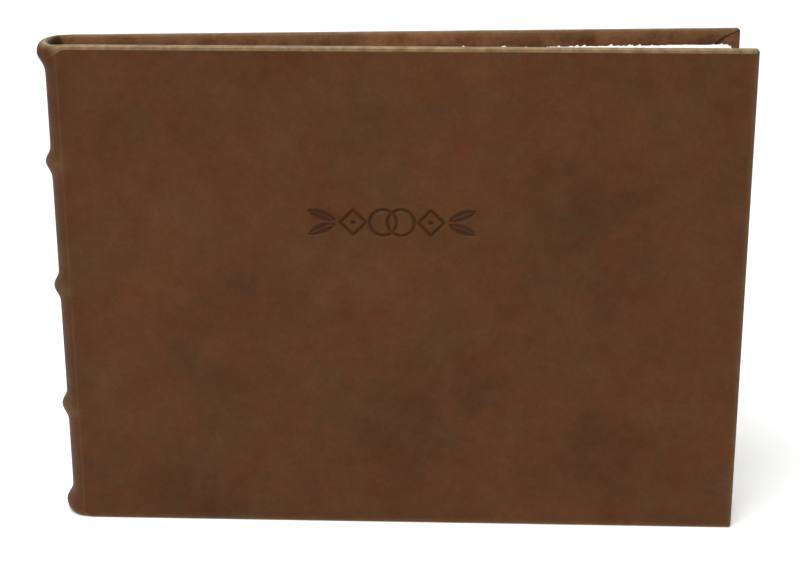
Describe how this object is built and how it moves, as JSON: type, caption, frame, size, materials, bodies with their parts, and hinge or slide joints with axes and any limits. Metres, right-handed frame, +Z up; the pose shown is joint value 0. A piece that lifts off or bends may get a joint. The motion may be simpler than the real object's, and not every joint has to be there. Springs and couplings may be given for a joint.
{
  "type": "wedding guest book",
  "caption": "Landscape guest book bound in brown leather, with raised bands on a hollow spine, deckle-edged leaves sewn in sections, and covers that open on the spine.",
  "frame": {"origin": "middle of the book's footprint, on the surface that it stands on", "axes": "+X along the back cover from the spine to the fore edge, +Y out of the back cover, +Z up from tail to head; the front cover faces -Y"},
  "size_m": [0.3164, 0.0487, 0.2286],
  "materials": {
    "calf_leather": "satin, calf, brown, mottled",
    "text_paper": "matt, mould-made, deckle-edged",
    "end_paper": "matt, laid",
    "binders_board": "matt, milled board",
    "lining_paper": "matt",
    "spine_card": "matt card",
    "kraft_paper": "matt kraft",
    "end_band_thread": "silk thread worked over a core",
    "linen_thread": "waxed linen thread",
    "linen_tape": "woven linen tape",
    "mull_cloth": "open-weave cotton"
  },
  "bodies": {
    "spine": {"spine_leather": "calf_leather", "front_joint_leather": "calf_leather", "back_joint_leather": "calf_leather", "spine_inlay": "spine_card", "raised_band_1": "spine_card", "raised_band_2": "spine_card", "raised_band_3": "spine_card", "head_cap_cord": "linen_thread", "tail_cap_cord": "linen_thread", "hollow_tube": "kraft_paper", "spine_mull": "mull_cloth", "sewing_tape_1": "linen_tape", "sewing_tape_2": "linen_tape", "sewing_tape_3": "linen_tape", "sewing_thread": "linen_thread", "head_band": "end_band_thread", "tail_band": "end_band_thread"},
    "front_cover": {"front_board": "binders_board", "front_cover_leather": "calf_leather", "front_mull_flap": "mull_cloth", "front_board_lining": "lining_paper", "front_pastedown": "end_paper"},
    "front_flyleaf": {"front_flyleaf": "end_paper"},
    "back_cover": {"back_board": "binders_board", "back_cover_leather": "calf_leather", "back_mull_flap": "mull_cloth", "back_board_lining": "lining_paper", "back_pastedown": "end_paper"},
    "back_flyleaf": {"back_flyleaf": "end_paper"},
    "section_1": {"section_1": "text_paper"},
    "section_2": {"section_2": "text_paper"},
    "section_3": {"section_3": "text_paper"},
    "section_4": {"section_4": "text_paper"},
    "section_5": {"section_5": "text_paper"},
    "section_6": {"section_6": "text_paper"},
    "section_7": {"section_7": "text_paper"},
    "section_8": {"section_8": "text_paper"}
  },
  "joints": [
    {"name": "front_cover_open", "type": "hinge", "parent": "spine", "child": "front_cover", "pos_m": [-0.14685, -0.00055, 0.1143], "axis": [0, 0, -1], "range_deg": [-4.4, 175.6], "deforming": ["front_joint_leather"]},
    {"name": "front_flyleaf_turn", "type": "hinge", "parent": "spine", "child": "front_flyleaf", "pos_m": [-0.1485, 0.00345, 0.1143], "axis": [0, 0, -1], "range_deg": [-2.2, 87.8]},
    {"name": "section_1_turn", "type": "hinge", "parent": "spine", "child": "section_1", "pos_m": [-0.14805, 0.00401, 0.1143], "axis": [0, 0, -1], "range_deg": [-2.02, 80.78]},
    {"name": "section_2_turn", "type": "hinge", "parent": "spine", "child": "section_2", "pos_m": [-0.14865, 0.00596, 0.1143], "axis": [0, 0, -1], "range_deg": [-0.87, 34.73]},
    {"name": "section_3_turn", "type": "hinge", "parent": "spine", "child": "section_3", "pos_m": [-0.14904, 0.00791, 0.1143], "axis": [0, 0, -1], "range_deg": [-0.37, 14.94]},
    {"name": "section_4_turn", "type": "hinge", "parent": "spine", "child": "section_4", "pos_m": [-0.14923, 0.00986, 0.1143], "axis": [0, 0, -1], "range_deg": [-0.16, 6.42]},
    {"name": "back_cover_open", "type": "hinge", "parent": "spine", "child": "back_cover", "pos_m": [-0.14685, 0.02395, 0.1143], "axis": [0, 0, 1], "range_deg": [0, 180], "deforming": ["back_joint_leather"]},
    {"name": "back_flyleaf_turn", "type": "hinge", "parent": "spine", "child": "back_flyleaf", "pos_m": [-0.1485, 0.01995, 0.1143], "axis": [0, 0, 1], "range_deg": [0, 90]},
    {"name": "section_8_turn", "type": "hinge", "parent": "spine", "child": "section_8", "pos_m": [-0.14805, 0.01938, 0.1143], "axis": [0, 0, 1], "range_deg": [0, 82.8]},
    {"name": "section_7_turn", "type": "hinge", "parent": "spine", "child": "section_7", "pos_m": [-0.14865, 0.01743, 0.1143], "axis": [0, 0, 1], "range_deg": [0, 35.6]},
    {"name": "section_6_turn", "type": "hinge", "parent": "spine", "child": "section_6", "pos_m": [-0.14904, 0.01548, 0.1143], "axis": [0, 0, 1], "range_deg": [0, 15.31]},
    {"name": "section_5_turn", "type": "hinge", "parent": "spine", "child": "section_5", "pos_m": [-0.14923, 0.01353, 0.1143], "axis": [0, 0, 1], "range_deg": [0, 6.58]}
  ],
  "couplings": [
    {"joint": "front_flyleaf_turn", "follows": "front_cover_open", "ratio": 0.5},
    {"joint": "section_1_turn", "follows": "front_cover_open", "ratio": 0.46},
    {"joint": "section_2_turn", "follows": "front_cover_open", "ratio": 0.1978},
    {"joint": "section_3_turn", "follows": "front_cover_open", "ratio": 0.085054},
    {"joint": "section_4_turn", "follows": "front_cover_open", "ratio": 0.036573},
    {"joint": "back_flyleaf_turn", "follows": "back_cover_open", "ratio": 0.5},
    {"joint": "section_8_turn", "follows": "back_cover_open", "ratio": 0.46},
    {"joint": "section_7_turn", "follows": "back_cover_open", "ratio": 0.1978},
    {"joint": "section_6_turn", "follows": "back_cover_open", "ratio": 0.085054},
    {"joint": "section_5_turn", "follows": "back_cover_open", "ratio": 0.036573}
  ]
}
